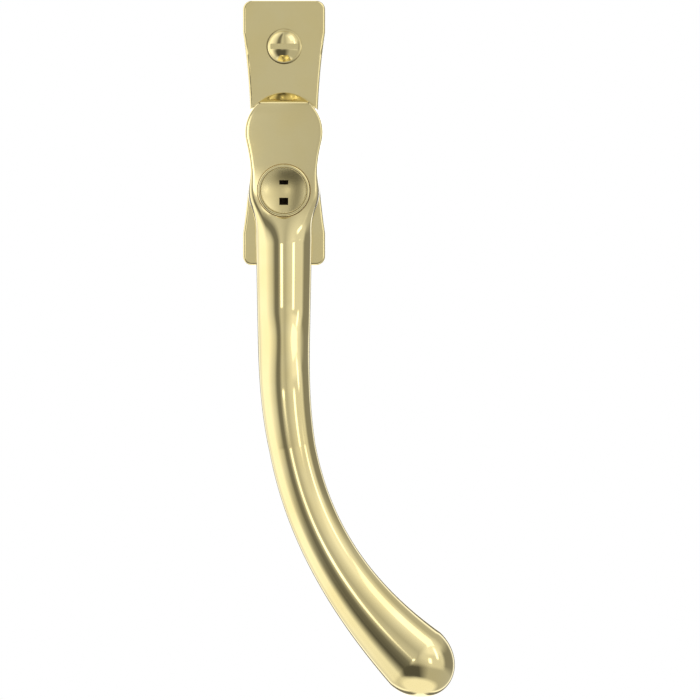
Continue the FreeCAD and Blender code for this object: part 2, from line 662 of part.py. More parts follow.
def make_stop_disc():
    """A disc keyed on the spigot's flats, with a tab that meets the ends of the recess's track."""
    body = new_body("stop_disc")
    low, thick = "dims.stop_disc_low", "dims.stop_disc_high - dims.stop_disc_low"
    disc = new_sketch(body, "disc_outline", low)
    add_circle(disc, "dims.stop_disc_radius")
    pad(body, "disc", disc, thick)
    tab = new_sketch(body, "tab_outline", low)
    half_angle = size("stop_tab_half_angle")
    inner = size("stop_disc_radius") - 0.6
    add_sector(tab, inner, size("stop_tab_radius"), 90 - half_angle, 90 + half_angle)
    pad(body, "tab", tab, thick)
    bore = new_sketch(body, "keyed_bore_outline", "dims.stop_disc_high")
    radius, flat = size("spigot_radius") + 0.04, size("spigot_flat") + 0.04
    corner = Vector(flat, math.sqrt(radius ** 2 - flat ** 2), 0)
    corners = [corner, Vector(-corner.x, corner.y, 0), Vector(-corner.x, -corner.y, 0),
               Vector(corner.x, -corner.y, 0)]
    bore.addGeometry(Part.Arc(corners[0], Vector(0, radius, 0), corners[1]))
    bore.addGeometry(Part.LineSegment(corners[1], corners[2]))
    bore.addGeometry(Part.Arc(corners[2], Vector(0, -radius, 0), corners[3]))
    bore.addGeometry(Part.LineSegment(corners[3], corners[0]))
    join_ends(bore)
    pocket(body, "keyed_bore", bore, thick)
    return body


def split_ring(name, inner, outer, low, high, gap, z=0.0):
    """A spring ring with a gap at the bottom."""
    body = new_body(name)
    outline = new_sketch(body, f"{name}_outline", low)
    add_sector(outline, inner, outer, -90 + gap, 270 - gap)
    pad(body, "ring", outline, f"{high} - {low}")
    body.Placement = Placement(Vector(0, 0, z), Rotation())
    return body


# ---------------------------------------------------------------- detents
def make_detent(side, name):
    """A ball and its spring in one of the hub's blind bores."""
    x = side * size("detent_ring_radius")
    seat = Placement(at_depth(size("ball_depth"), x), Rotation())
    ball = bound_object("Part::Sphere", f"detent_ball_{name}", seat, Radius="dims.ball_radius")
    ball.Label = f"detent_ball_{name}"
    gap = 0.15
    base = at_depth(size("ball_depth") + size("ball_radius") + gap, x)
    height = size("detent_bore_top") - size("ball_depth") - size("ball_radius") - 2 * gap
    spring = coil_spring(f"detent_spring_{name}", base, size("detent_wire_radius"),
                         size("detent_coil_radius"), size("detent_coil_pitch"), height)
    return [ball, spring]


# ---------------------------------------------------------------- lock
def make_barrel():
    """The lock's cup in the head, with a slot at its left that guides the latch wafer."""
    body = new_body("lock_barrel")
    section = half_section(body, "barrel_section", [
        ("dims.lock_pin_bore_radius", "dims.barrel_back"), ("dims.barrel_radius", "dims.barrel_back"),
        ("dims.barrel_radius", "dims.barrel_top"), ("dims.barrel_inner_radius", "dims.barrel_top"),
        ("dims.barrel_inner_radius", "dims.barrel_floor"),
        ("dims.lock_pin_bore_radius", "dims.barrel_floor"),
    ])
    revolve(body, "Revolution", "turned", section)
    slot = new_sketch(body, "slot_outline", "dims.barrel_top")
    half_width = "dims.barrel_slot_half_width"
    add_box(slot, "-2 * dims.barrel_radius", "-dims.plug_radius", f"-{half_width}", half_width)
    pocket(body, "slot", slot, "dims.barrel_top - dims.barrel_slot_low")
    body.Placement = Placement(Vector(0, 0, -size("lock_level")), Rotation())
    return body


def make_button():
    """The push button: a sleeve round the key plug, with a crosswise cavity for the latch wafer."""
    body = new_body("lock_button")
    section = half_section(body, "button_section", [
        ("0", "dims.button_back"), ("dims.button_radius", "dims.button_back"),
        ("dims.button_radius", "dims.button_front"), ("dims.plug_bore_radius", "dims.button_front"),
        ("dims.plug_bore_radius", "dims.plug_back - 0.03"), ("0", "dims.plug_back - 0.03"),
    ])
    revolve(body, "Revolution", "turned", section)
    tail = new_sketch(body, "tail_bore_outline", "dims.plug_back")
    add_circle(tail, "dims.plug_tail_bore")
    pocket(body, "tail_bore", tail, "dims.plug_back - dims.cavity_low")
    cavity = new_sketch(body, "cavity_outline", "dims.cavity_high")
    add_box(cavity, "-2 * dims.button_radius", "dims.cavity_back", "-dims.cavity_half_width",
            "dims.cavity_half_width")
    pocket(body, "cavity", cavity, "dims.cavity_high - dims.cavity_low")
    pin_hole = new_sketch(body, "pin_hole_outline", "dims.lock_pin_top")
    add_circle(pin_hole, "dims.lock_pin_radius")
    pocket(body, "pin_hole", pin_hole, "dims.lock_pin_top")
    groove = new_sketch(body, "spring_groove_outline", "dims.spring_groove_top")
    add_circle(groove, "dims.spring_groove_outer")
    add_circle(groove, "dims.spring_groove_inner")
    pocket(body, "spring_groove", groove, "dims.spring_groove_top")
    clip = half_section(body, "clip_groove_section", ring_section(
        "dims.plug_radius - 0.5", "dims.clip_outer_radius + dims.clip_play",
        "dims.clip_low - dims.clip_play", "dims.clip_high + dims.clip_play"))
    revolve(body, "Groove", "clip_groove", clip)
    front, outer = -size("button_front"), size("button_radius")
    rim = edges_where(body.Shape, lambda p: (
        abs(p.y - front) < 0.01 and math.hypot(p.x, p.z) > outer - 0.05))
    dress(body, "Fillet", "rim_round", rim, "Radius", "dims.button_edge_round")
    body.Placement = Placement(Vector(0, 0, -size("lock_level")), Rotation())
    return body


def make_key_plug():
    """The plug that the key turns: a dished face with two slots and a plain web between them."""
    body = new_body("key_plug")
    plug, tail = "dims.plug_radius", "dims.plug_tail_radius"
    section = half_section(body, "plug_section", [
        ("0", "dims.plug_tail_end"), (tail, "dims.plug_tail_end"), (tail, "dims.plug_back"),
        (plug, "dims.plug_back"), (plug, "dims.clip_low - dims.clip_play"),
        ("dims.clip_inner_radius - dims.clip_play", "dims.clip_low - dims.clip_play"),
        ("dims.clip_inner_radius - dims.clip_play", "dims.clip_high + dims.clip_play"),
        (plug, "dims.clip_high + dims.clip_play"), (plug, "dims.plug_front"), ("0", "dims.plug_front"),
    ])
    revolve(body, "Revolution", "turned", section)
    dish = new_sketch(body, "dish_section", role="XY_Plane")
    sag, reach = size("plug_dish"), size("plug_radius") - 0.25
    ball = (reach ** 2 + sag ** 2) / (2 * sag)
    turn = math.asin(reach / ball) / 2
    face = -size("plug_front")
    middle = Vector(ball * math.sin(turn), face + sag - ball + ball * math.cos(turn), 0)
    dish.addGeometry(Part.Arc(Vector(0, face + sag, 0), middle, Vector(reach, face, 0)))
    dish.addGeometry(Part.LineSegment(Vector(reach, face, 0), Vector(0, face, 0)))
    dish.addGeometry(Part.LineSegment(Vector(0, face, 0), Vector(0, face + sag, 0)))
    join_ends(dish)
    revolve(body, "Groove", "dish", dish)
    half_width = "dims.key_half_width"
    for name, low, high in (("upper", "dims.key_upper_low", "dims.key_upper_high"),
                            ("lower", "-dims.key_lower_high", "-dims.key_lower_low")):
        slot = new_sketch(body, f"{name}_key_slot_outline", "dims.plug_front")
        add_box(slot, f"-{half_width}", half_width, low, high)
        pocket(body, f"{name}_key_slot", slot, "dims.key_depth")
    body.Placement = Placement(Vector(0, 0, -size("lock_level")), Rotation())
    return body


def make_cam():
    """An eccentric disc on the plug's tail, which draws the wafer in as the key turns."""
    body = new_body("plug_cam")
    disc = new_sketch(body, "cam_outline", "dims.cam_low")
    add_circle(disc, "dims.cam_radius", x="-dims.cam_offset")
    pad(body, "cam", disc, "dims.cam_high - dims.cam_low")
    body.Placement = Placement(Vector(0, 0, -size("lock_level")), Rotation())
    return body


def make_wafer():
    """The latch: a flat yoke round the cam, with a nose in the barrel's slot."""
    body = new_body("latch_wafer")
    yoke = new_sketch(body, "yoke_outline", "dims.wafer_low")
    wide, nose = "dims.wafer_half_width", "dims.wafer_nose_half_width"
    front, tip, back = "-dims.wafer_front", "-dims.wafer_nose", "dims.wafer_back"
    add_outline(yoke, [
        (back, f"-{wide}"), (back, wide), (front, wide), (front, nose),
        (tip, nose), (tip, f"-{nose}"), (front, f"-{nose}"), (front, f"-{wide}"),
    ])
    pad(body, "yoke", yoke, "dims.wafer_high - dims.wafer_low")
    window = new_sketch(body, "window_outline", "dims.wafer_high")
    half_width, half_height = "dims.wafer_window_half_width", "dims.wafer_window_half_height"
    add_box(window, f"-dims.cam_offset - {half_width}", f"-dims.cam_offset + {half_width}",
            f"-{half_height}", half_height)
    pocket(body, "window", window, "dims.wafer_high - dims.wafer_low")
    body.Placement = Placement(Vector(0, 0, -size("lock_level")), Rotation())
    return body


def make_locking_pin():
    """The pin that the button drives into the backplate's bush."""
    chamfer = "dims.lock_pin_chamfer"
    return turned("locking_pin", [
        ("0", "dims.lock_pin_tip"), (f"dims.lock_pin_radius - {chamfer}", "dims.lock_pin_tip"),
        ("dims.lock_pin_radius", f"dims.lock_pin_tip + {chamfer}"),
        ("dims.lock_pin_radius", "dims.lock_pin_top"), ("0", "dims.lock_pin_top"),
    ], z=-size("lock_level"))


# ---------------------------------------------------------------- build, check, write
def build_all():
    lock_z = -size("lock_level")
    parts = [make_backplate(), make_screw("screw_upper", 1), make_screw("screw_lower", -1)]
    parts.append(turned("lock_bush", ring_section(
        "dims.bush_bore_radius", "dims.bush_radius", "dims.bush_low", "dims.plate_thickness"), z=lock_z))
    parts.append(turned("bearing_washer", ring_section(
        "dims.washer_inner_radius", "dims.washer_outer_radius", "dims.boss_top",
        "dims.boss_top + dims.washer_thickness")))
    parts.append(make_disc_spring())
    parts += [make_lever(), make_spindle(), make_spindle_pin(), make_stop_disc()]
    parts.append(split_ring("circlip", size("circlip_groove_radius") + 0.03, size("circlip_radius"),
                            "dims.circlip_low", "dims.circlip_high", size("circlip_gap_half_angle")))
    for side, name in ((-1, "left"), (1, "right")):
        parts += make_detent(side, name)
    parts.append(make_barrel())
    parts.append(turned("barrel_ring", ring_section(
        "dims.ring_inner_radius", "dims.barrel_radius", "dims.ring_back", "dims.barrel_back"), z=lock_z))
    parts += [make_button(), make_locking_pin(), make_key_plug(), make_cam(), make_wafer()]
    parts.append(split_ring("plug_clip", size("clip_inner_radius"), size("clip_outer_radius"),
                            "dims.clip_low", "dims.clip_high", size("clip_gap_half_angle"), z=lock_z))
    gap = 0.25
    height = size("spring_groove_top") - size("barrel_floor") - 2 * gap
    parts.append(coil_spring(
        "return_spring", at_depth(size("barrel_floor") + gap, z=lock_z), size("return_wire_radius"),
        size("return_coil_radius"), size("return_coil_pitch"), height))
    return parts


parts = build_all()
doc.recompute()
for item in doc.Objects:
    if "Invalid" in item.State or "Error" in item.State:
        raise RuntimeError(f"{item.Name} failed: {item.State}")
os.makedirs("parts", exist_ok=True)
for part in parts:
    if part.Shape.isNull() or not part.Shape.isValid():
        raise RuntimeError(f"{part.Label} has no valid shape")
    part.Shape.exportStep(f"parts/{part.Label}.step")
    box = part.Shape.BoundBox
    spans = [(box.XMin, box.XMax), (box.YMin, box.YMax), (box.ZMin, box.ZMax)]
    extent = "  ".join(f"{axis} {low:.2f}..{high:.2f}" for axis, (low, high) in zip("xyz", spans))
    print(f"{part.Label:22s} solids {len(part.Shape.Solids)} volume {part.Shape.Volume:9.2f}  {extent}")
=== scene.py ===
"""Looks for the locking window handle: polished gold plate in a pale studio.

The frame is the CAD model's own: +X to the right, +Y into the window and +Z up, with the origin
where the spindle's axis meets the backplate's mounting face. Shapes are worked out in millimetres
and become metres as they turn into meshes. A level is a distance below the spindle's axis, and a
height is a distance in front of the mounting face.
"""

import json
import math

import bmesh
import bpy
import numpy as np
from mathutils import Matrix, Vector


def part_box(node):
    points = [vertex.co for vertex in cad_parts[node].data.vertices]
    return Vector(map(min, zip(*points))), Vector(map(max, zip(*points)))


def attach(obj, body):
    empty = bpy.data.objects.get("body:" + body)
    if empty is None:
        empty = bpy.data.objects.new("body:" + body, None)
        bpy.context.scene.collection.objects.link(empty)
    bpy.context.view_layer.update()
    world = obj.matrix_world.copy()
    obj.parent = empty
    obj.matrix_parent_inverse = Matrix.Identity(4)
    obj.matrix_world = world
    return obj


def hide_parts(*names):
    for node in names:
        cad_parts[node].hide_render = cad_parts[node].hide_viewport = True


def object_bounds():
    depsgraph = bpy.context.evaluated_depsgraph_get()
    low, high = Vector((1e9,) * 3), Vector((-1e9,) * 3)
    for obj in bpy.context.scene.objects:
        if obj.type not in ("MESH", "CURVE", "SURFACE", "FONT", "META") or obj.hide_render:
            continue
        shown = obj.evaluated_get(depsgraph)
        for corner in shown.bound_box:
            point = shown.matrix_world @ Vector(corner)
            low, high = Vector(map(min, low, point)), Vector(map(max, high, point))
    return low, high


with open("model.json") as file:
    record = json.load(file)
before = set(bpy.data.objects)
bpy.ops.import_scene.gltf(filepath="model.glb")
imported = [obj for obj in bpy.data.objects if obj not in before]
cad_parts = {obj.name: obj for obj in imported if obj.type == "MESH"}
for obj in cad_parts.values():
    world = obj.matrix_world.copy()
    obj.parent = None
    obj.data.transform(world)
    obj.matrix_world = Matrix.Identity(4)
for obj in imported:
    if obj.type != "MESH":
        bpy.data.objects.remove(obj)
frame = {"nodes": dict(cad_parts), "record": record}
cad_low, cad_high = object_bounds()

MM = 0.001
FULL_TURN = 2 * math.pi
ROUND_SIDES = 96  # of a turned shape, unless it says otherwise
AXIS_RADIUS = 0.02  # the last ring of a turned shape, just off its axis
SHARP_ANGLE = 32.0  # degrees, from where an edge is shaded as sharp
WELD_DISTANCE, SLIVER_LENGTH = 2e-6, 1e-6  # metres

button_low, button_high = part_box("lock_button")
LOCK_LEVEL = -(button_low.z + button_high.z) / 2 / MM
BARREL_FRONT = -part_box("lock_barrel")[0].y / MM


# ---------------------------------------------------------------- curves
def cubic_through(points):
    """A natural cubic curve through (position, value) pairs, as a function."""
    x, y = np.array(points, float).T
    gap = np.diff(x)
    size = len(x)
    matrix = np.eye(size)
    right = np.zeros(size)
    for i in range(1, size - 1):
        matrix[i, i - 1:i + 2] = gap[i - 1], 2 * (gap[i - 1] + gap[i]), gap[i]
        right[i] = 6 * ((y[i + 1] - y[i]) / gap[i] - (y[i] - y[i - 1]) / gap[i - 1])
    bend = np.linalg.solve(matrix, right)

    def value(at):
        i = int(np.clip(np.searchsorted(x, at) - 1, 0, size - 2))
        a, b, g = x[i + 1] - at, at - x[i], gap[i]
        return (
            (bend[i] * a ** 3 + bend[i + 1] * b ** 3) / (6 * g)
            + (y[i] / g - bend[i] * g / 6) * a + (y[i + 1] / g - bend[i + 1] * g / 6) * b
        )

    return value


def share_of_way(value, low, high):
    """How far a value is from low to high, kept within 0 and 1."""
    return min(1.0, max(0.0, (value - low) / (high - low)))


def smoothstep(value, low, high):
    share = share_of_way(value, low, high)
    return share * share * (3 - 2 * share)


def smootherstep(value, low, high):
    share = share_of_way(value, low, high)
    return share ** 3 * (6 * share ** 2 - 15 * share + 10)


def quarter_turn(count):
    """Angles in equal steps up to a right angle, without the zero."""
    return np.linspace(0, math.pi / 2, count + 1)[1:]


# ---------------------------------------------------------------- meshes
def mesh_object(name, vertices, faces):
    mesh = bpy.data.meshes.new(name)
    mesh.from_pydata(vertices, [], faces)
    mesh.validate()
    made = bpy.data.objects.new(name, mesh)
    bpy.context.scene.collection.objects.link(made)
    return made


def fix_normals(made):
    """Welds points that meet and turns every face outwards."""
    bm = bmesh.new()
    bm.from_mesh(made.data)
    bmesh.ops.remove_doubles(bm, verts=bm.verts, dist=WELD_DISTANCE)
    bmesh.ops.dissolve_degenerate(bm, edges=bm.edges, dist=SLIVER_LENGTH)
    bmesh.ops.recalc_face_normals(bm, faces=bm.faces)
    bm.to_mesh(made.data)
    bm.free()


def bridge_rings(name, rings):
    """A closed skin over equal-length rings of points in millimetres, with flat ends."""
    count = len(rings[0])
    last = (len(rings) - 1) * count
    faces = []
    for start in range(0, last, count):
        for j in range(count):
            k = (j + 1) % count
            faces.append((start + j, start + k, start + count + k, start + count + j))
    faces.append(tuple(range(count - 1, -1, -1)))
    faces.append(tuple(range(last, last + count)))
    made = mesh_object(name, [Vector(point) * MM for ring in rings for point in ring], faces)
    fix_normals(made)
    return made


def turned(name, rows, level=0.0, sides=ROUND_SIDES):
    """A closed solid round an axis along Y at a level.

    Each row is a height and either one radius or a list with a radius for every side.
    """
    angles = [FULL_TURN * k / sides for k in range(sides)]
    rings = []
    for height, radii in rows:
        if not isinstance(radii, list):
            radii = [radii] * sides
        rings.append([
            (radius * math.cos(angle), -height, radius * math.sin(angle) - level)
            for radius, angle in zip(radii, angles)])
    return bridge_rings(name, rings)


def cylinder(name, radius, low, high, level=0.0, sides=ROUND_SIDES):
    """A closed cylinder between two heights."""
    return turned(name, [(low, radius), (high, radius)], level, sides)


def slot_cutter(name, half_width, levels, heights):
    """A closed box centred on x = 0, between two levels and two heights."""
    rings = []
    for level in sorted(levels, reverse=True):
        corners = [(-half_width, heights[1]), (half_width, heights[1]),
                   (half_width, heights[0]), (-half_width, heights[0])]
        rings.append([(x, -height, -level) for x, height in corners])
    return bridge_rings(name, rings)


def combine(target, other, operation):
    """Applies one boolean and removes the tool."""
    modifier = target.modifiers.new("combine", "BOOLEAN")
    modifier.operation = operation
    modifier.solver = "MANIFOLD"
    modifier.object = other
    depsgraph = bpy.context.evaluated_depsgraph_get()
    result = bpy.data.meshes.new_from_object(target.evaluated_get(depsgraph))
    target.modifiers.clear()
    target.data = result
    bpy.data.objects.remove(other)


def shade(made):
    """Smooth shading that breaks at sharp edges."""
    limit = math.radians(SHARP_ANGLE)
    bm = bmesh.new()
    bm.from_mesh(made.data)
    for face in bm.faces:
        face.smooth = True
    for edge in bm.edges:
        edge.smooth = len(edge.link_faces) == 2 and edge.calc_face_angle(0.0) < limit
    bm.to_mesh(made.data)
    bm.free()


# ---------------------------------------------------------------- lever: sizes
HUB_RADIUS = 10.1
HEAD_BACK, HEAD_FRONT = 7.8, 17.5  # heights
HEAD_DRAFT = 0.55  # taken off the half width between back and front

# the head's half width by level, below the hub's round top
PLAN_START = 2.0
plan_width = cubic_through([
    (2.0, 9.9), (5.8, 9.12), (8.2, 8.82), (10.3, 8.74), (12.8, 8.93), (14.8, 9.05), (16.4, 8.88),
    (17.9, 8.5), (19.3, 8.03), (20.8, 7.56), (22.4, 7.2), (24.4, 7.03), (27.0, 6.98), (31.0, 6.6),
])

# how far the head's slab has turned into the arm's oval, by level
OVAL_START = 8.0
turn_to_oval = cubic_through([
    (8.0, 0.0), (13.0, 0.1), (17.0, 0.24), (20.7, 0.5), (23.0, 0.7), (25.4, 0.88), (27.3, 0.985),
])

# the slope from the head's front to the hub's top: its height at one z, its rise per millimetre
# and how softly it runs into the front
SLOPE_Z, SLOPE_HEIGHT = 9.7, 12.0
SLOPE_RISE = 1.92
SLOPE_EASE = 0.85
SLOPE_STRAIGHT = 30.0  # in eases below the front, from where the slope counts as straight

# the ramp below the lock, which lifts the front up to the arm
RAMP_START = 17.5
RAMP_RISE = 1.2
RAMP_POWER = 1.7
JUNCTION = 27.3  # the level where the head ends and the arm starts

# the rounds at the head's front and back edges, and their limits where the head is thin
EDGE_ROUND, FOOT_ROUND = 0.45, 0.35
LEAST_ROUND = 0.02
LEAST_HALF_WIDTH = 0.05
EDGE_PER_WIDTH, EDGE_PER_THICKNESS, FOOT_PER_WIDTH = 0.45, 0.4, 0.3
FRONT_BOW = 0.09  # how much lower the front is at its edges than in the middle
DEEPEN_START = 21.0  # the level where the oval grows from the slab's depth to the arm's
SETTLING_STEPS = 6  # for the front's height and its edge's z, which depend on each other

# points of half a ring: the back, its round, the side, the front's round and the front. Each has
# an angle on the arm's oval, from the middle of the back to the middle of the front
BACK_POINTS, FOOT_POINTS, SIDE_POINTS, EDGE_POINTS, FRONT_POINTS = 5, 4, 15, 8, 16
RING_ANGLES = [
    -90, -84, -76, -66, -55, -50, -45, -40, -36, *np.linspace(-31, 28, SIDE_POINTS),
    *np.linspace(31, 52, EDGE_POINTS), *np.linspace(54.5, 90, FRONT_POINTS),
]

# the arm: its half width by level, and powers for how it widens above and below its slimmest
ARM_START, SLIM_LEVEL, ARM_END = 24.0, 78.0, 130.3
ARM_HALF_WIDTH, SLIM_HALF_WIDTH, END_HALF_WIDTH = 7.0, 5.79, 8.98
TAPER_POWER, SWELL_POWER = 0.8, 3
END_LENGTH = 10.6  # the bulb's reach past the arm's end

# the arm's sweep to the right and its bend outwards to ARM_HEIGHT
SWEEP_START, SWEEP_REACH, SWEEP_POWER = 47.2, 32.5, 2.763
RISE_START, RISE_END = 41.5, 66.5
ARM_HEIGHT = 18.6

# behind, the arm keeps the head's back and rounds out between two levels
BACK_KEPT_TO = 40.0
BACK_ROUND_START, BACK_ROUND_END = 30.0, 62.0

AIM_STEP = 0.05  # to each side of a level, for the arm's direction there
HUB_TOP_ANGLE = 0.03  # of the first ring, in radians from the hub's top
HUB_RINGS, ARM_RINGS, BULB_RINGS = 46, 300, 32
HEAD_STEP = 0.3
HEAD_END_GAP, ARM_START_GAP = 0.05, 0.25  # kept free on each side of the junction

SPIGOT_RADIUS, SPIGOT_END = 6.0, 0.6
SPIGOT_OVERLAP = 1.0
LOCK_BORE_RADIUS, LOCK_BORE_START = 7.5, 2.0
LOCK_MOUTH_RADIUS = 6.68
SOCKET_HALF_WIDTH = 3.52
SOCKET_START, SOCKET_END = -1.0, 12.0
MOUTH_CUTTER_REACH = 4.0  # past the head's front


# ---------------------------------------------------------------- lever: shape
def head_front(z):
    """Height of the head's front: flat, with a slope to the hub's top and a ramp to the arm."""
    slope = SLOPE_HEIGHT + (SLOPE_Z - z) * SLOPE_RISE
    drop = (HEAD_FRONT - slope) / SLOPE_EASE
    eased = math.log1p(math.exp(drop)) if drop < SLOPE_STRAIGHT else drop
    ramp = max(0.0, (-z - RAMP_START) / (JUNCTION - RAMP_START))
    return HEAD_FRONT - SLOPE_EASE * eased + RAMP_RISE * ramp ** RAMP_POWER


def slab_points(width, full, front, edge):
    """Half the slab's outline as (share of the half width, height), from back to front.

    Width is the half width at the back, full is the drafted one at the front and edge is the
    radius of the front's round.
    """
    foot = max(LEAST_ROUND, min(FOOT_ROUND, FOOT_PER_WIDTH * width))
    edge_share = edge / max(full, LEAST_HALF_WIDTH)
    foot_share = foot / max(width, LEAST_HALF_WIDTH)
    foot_top, edge_bottom = HEAD_BACK + foot, front - edge

    points = [(share * (1 - foot_share), HEAD_BACK) for share in np.linspace(0, 1, BACK_POINTS)]
    points += [
        (1 - foot_share * (1 - math.sin(angle)), HEAD_BACK + foot * (1 - math.cos(angle)))
        for angle in quarter_turn(FOOT_POINTS)]
    points += [
        (1.0, height) for height in np.linspace(foot_top, edge_bottom, SIDE_POINTS + 1)[1:]]
    points += [
        (1 - edge_share * (1 - math.cos(angle)), front - edge * (1 - math.sin(angle)))
        for angle in quarter_turn(EDGE_POINTS)]
    points += [
        (share * (1 - edge_share), front) for share in np.linspace(1, 0, FRONT_POINTS + 1)[1:]]
    return points


def head_section(level):
    """One closed ring round the head. The level is negative above the spindle's axis.

    Above the lock it is a slab with rounded edges; towards the arm it turns into the arm's oval.
    """
    if level < PLAN_START:
        width = math.sqrt(max(0.0, HUB_RADIUS ** 2 - level ** 2))
    else:
        width = plan_width(level)
    oval = 0.0 if level < OVAL_START else turn_to_oval(level)

    def place(share, height):
        """x and z of a point at a share of the half width, drawn in by the draft."""
        draft = HEAD_DRAFT * (height - HEAD_BACK) / (HEAD_FRONT - HEAD_BACK)
        if level < 0:
            scale = 1 - draft / HUB_RADIUS
            return width * share * scale, -level * scale
        return (width - draft) * share, -level

    front = HEAD_FRONT
    for _ in range(SETTLING_STEPS):
        front = head_front(place(1.0, front)[1])

    full = place(1.0, front)[0]
    edge = max(LEAST_ROUND, min(
        EDGE_ROUND, EDGE_PER_WIDTH * full, EDGE_PER_THICKNESS * (front - HEAD_BACK)))
    rise = (front - HEAD_BACK) / 2
    rise += (width - rise) * smoothstep(level, DEEPEN_START, JUNCTION)
    middle = front - rise
    half = []
    for (share, height), angle in zip(slab_points(width, full, front, edge), RING_ANGLES):
        x, z = place(share, height)
        if height > front - edge:
            height -= FRONT_BOW * share ** 2
        c, s = math.cos(math.radians(angle)), math.sin(math.radians(angle))
        x += oval * (width * c - x)
        height += oval * (middle + (rise if s > 0 else middle - HEAD_BACK) * s - height)
        half.append((x, -height, z))
    return half + [(-x, y, z) for x, y, z in reversed(half[1:-1])]


def arm_width(level):
    """Half width of the arm, which is also its half depth in front."""
    if level < SLIM_LEVEL:
        back = max(0.0, (SLIM_LEVEL - level) / (SLIM_LEVEL - ARM_START))
        return SLIM_HALF_WIDTH + (ARM_HALF_WIDTH - SLIM_HALF_WIDTH) * back ** TAPER_POWER
    on = (level - SLIM_LEVEL) / (ARM_END - SLIM_LEVEL)
    return SLIM_HALF_WIDTH + (END_HALF_WIDTH - SLIM_HALF_WIDTH) * on ** SWELL_POWER


def arm_centre(level):
    """The arm's centre line at a level."""
    run = max(0.0, (level - SWEEP_START) / (ARM_END - SWEEP_START))
    first = HEAD_FRONT + RAMP_RISE - arm_width(min(level, RISE_START))
    height = first + (ARM_HEIGHT - first) * smootherstep(level, RISE_START, RISE_END)
    return Vector((SWEEP_REACH * run ** SWEEP_POWER, -height, -level))


def arm_ring(level, width, push=0.0):
    """A closed egg-shaped ring square to the arm, pushed on along it.

    Near the head it is flatter behind.
    """
    along = (arm_centre(level + AIM_STEP) - arm_centre(level - AIM_STEP)).normalized()
    across = Vector((0, -1, 0)).cross(along).normalized()
    lift = along.cross(across).normalized()
    centre = arm_centre(level) + along * push
    rear = -arm_centre(min(level, BACK_KEPT_TO)).y - HEAD_BACK
    rear += (width - rear) * smoothstep(level, BACK_ROUND_START, BACK_ROUND_END)
    ring = []
    for angle in RING_ANGLES + [180 - a for a in reversed(RING_ANGLES[1:-1])]:
        c, s = math.cos(math.radians(angle)), math.sin(math.radians(angle))
        ring.append(centre + across * (width * c) + lift * ((width if s > 0 else rear) * s))
    return ring


def make_lever():
    """One skin from the hub to the bulb, with its spigot and the holes for lock and spindle."""
    levels = [
        -HUB_RADIUS * math.cos(angle)
        for angle in np.linspace(HUB_TOP_ANGLE, math.pi / 2, HUB_RINGS)]
    levels += list(np.arange(HEAD_STEP, JUNCTION - HEAD_END_GAP, HEAD_STEP))
    rings = [head_section(level) for level in levels]
    for level in np.linspace(JUNCTION + ARM_START_GAP, ARM_END, ARM_RINGS):
        rings.append(arm_ring(level, arm_width(level)))
    for angle in quarter_turn(BULB_RINGS + 1)[:-1]:
        width, push = END_HALF_WIDTH * math.cos(angle), END_LENGTH * math.sin(angle)
        rings.append(arm_ring(ARM_END, width, push))
    lever = bridge_rings("lever_polished", rings)

    spigot = cylinder("spigot_skin", SPIGOT_RADIUS, SPIGOT_END, HEAD_BACK + SPIGOT_OVERLAP)
    combine(lever, spigot, "UNION")
    bore = cylinder("bore_tool", LOCK_BORE_RADIUS, LOCK_BORE_START, BARREL_FRONT, LOCK_LEVEL)
    combine(lever, bore, "DIFFERENCE")
    mouth = cylinder("mouth_tool", LOCK_MOUTH_RADIUS, LOCK_BORE_START,
                     HEAD_FRONT + MOUTH_CUTTER_REACH, LOCK_LEVEL)
    combine(lever, mouth, "DIFFERENCE")
    # a cylinder of four sides is a square bar once it is turned onto its flats
    socket = cylinder("socket_tool", SOCKET_HALF_WIDTH * math.sqrt(2), SOCKET_START, SOCKET_END,
                      sides=4)
    socket.data.transform(Matrix.Rotation(math.radians(45), 4, "Y"))
    combine(lever, socket, "DIFFERENCE")
    shade(lever)
    return lever


# ---------------------------------------------------------------- key plug
PLUG_SIDES = 128
PLUG_RADIUS, PLUG_EDGE = 5.75, 0.14
PLUG_TAIL_RADIUS, PLUG_TAIL = 1.6, 16.6
# a near-black colour painted into the key slots as painted shade, standing in for the shade deep
# inside them
PLUG_BACK, PLUG_FRONT = 17.2, 20.42
GROOVE_RADIUS, GROOVE_BACK, GROOVE_FRONT = 5.4, 18.15, 18.75
DISH_RADIUS, DISH_SAG = 5.5, 1.3
KEY_SLOT_HALF_WIDTH = 1.1
KEY_SLOT_FLOOR, KEY_SLOT_WALL_TOP = 17.92, 19.05
KEY_SLOTS = ((1.45, 2.55), (-3.6, -1.8))  # the two slots' extents above the plug's axis
KEY_CUTTER_REACH = 2.0  # past the plug's front
PLUG_EDGE_RINGS, DISH_RINGS = 6, 56
NEAR = 0.01


def ball_radius(radius, sag):
    """Radius of a ball whose cap has this radius and sag."""
    return (radius ** 2 + sag ** 2) / (2 * sag)


def plug_profile():
    """Height and radius of the plug's outline, from its tail to the middle of its dish."""
    points = [
        (PLUG_TAIL, AXIS_RADIUS), (PLUG_TAIL, PLUG_TAIL_RADIUS), (PLUG_BACK, PLUG_TAIL_RADIUS),
        (PLUG_BACK, PLUG_RADIUS), (GROOVE_BACK, PLUG_RADIUS), (GROOVE_BACK, GROOVE_RADIUS),
        (GROOVE_FRONT, GROOVE_RADIUS), (GROOVE_FRONT, PLUG_RADIUS),
    ]
    for angle in np.linspace(0, math.pi / 2, PLUG_EDGE_RINGS):
        points.append((PLUG_FRONT - PLUG_EDGE + PLUG_EDGE * math.sin(angle),
                       PLUG_RADIUS - PLUG_EDGE + PLUG_EDGE * math.cos(angle)))
    ball = ball_radius(DISH_RADIUS, DISH_SAG)
    for radius in np.linspace(DISH_RADIUS, AXIS_RADIUS, DISH_RINGS):
        height = PLUG_FRONT - DISH_SAG + ball - math.sqrt(ball ** 2 - radius ** 2)
        points.append((height, radius))
    return points


